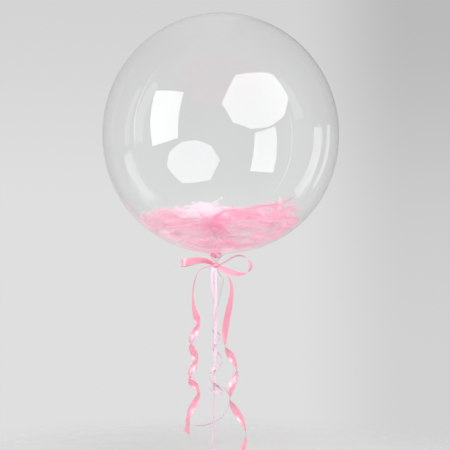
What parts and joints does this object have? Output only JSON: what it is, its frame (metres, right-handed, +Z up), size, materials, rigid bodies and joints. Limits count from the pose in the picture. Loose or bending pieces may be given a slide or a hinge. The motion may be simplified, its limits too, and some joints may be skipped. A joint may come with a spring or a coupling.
{
  "type": "bubble balloon",
  "caption": "Clear round bubble balloon with pink feathers inside, a satin bow with trailing tails at its neck and a thin tether ribbon ending in a tie-down loop.",
  "frame": {"origin": "bottom of the eye of the tie-down loop at the tether's lower end, where the balloon is made fast", "axes": "+Z up along the tether to the crown of the bubble, +X to the right of the bow's broad view, which faces -Y"},
  "size_m": [0.5, 0.5, 0.975],
  "materials": {
    "clear_film": "thin clear stretched plastic film, high gloss",
    "satin_ribbon": "double faced satin, soft sheen along the ribbon",
    "curling_ribbon": "crimped polypropylene curling ribbon, fine lengthwise ribs, gloss",
    "feather_down": "soft dyed marabou down, matt"
  },
  "bodies": {
    "root": {"bubble": "clear_film", "ribbon_bow": "satin_ribbon", "bow_tail_left": "satin_ribbon", "bow_tail_right": "satin_ribbon", "tether_ribbon": "curling_ribbon", "tether_curl": "curling_ribbon", "tether_loop": "curling_ribbon"}
  },
  "joints": []
}
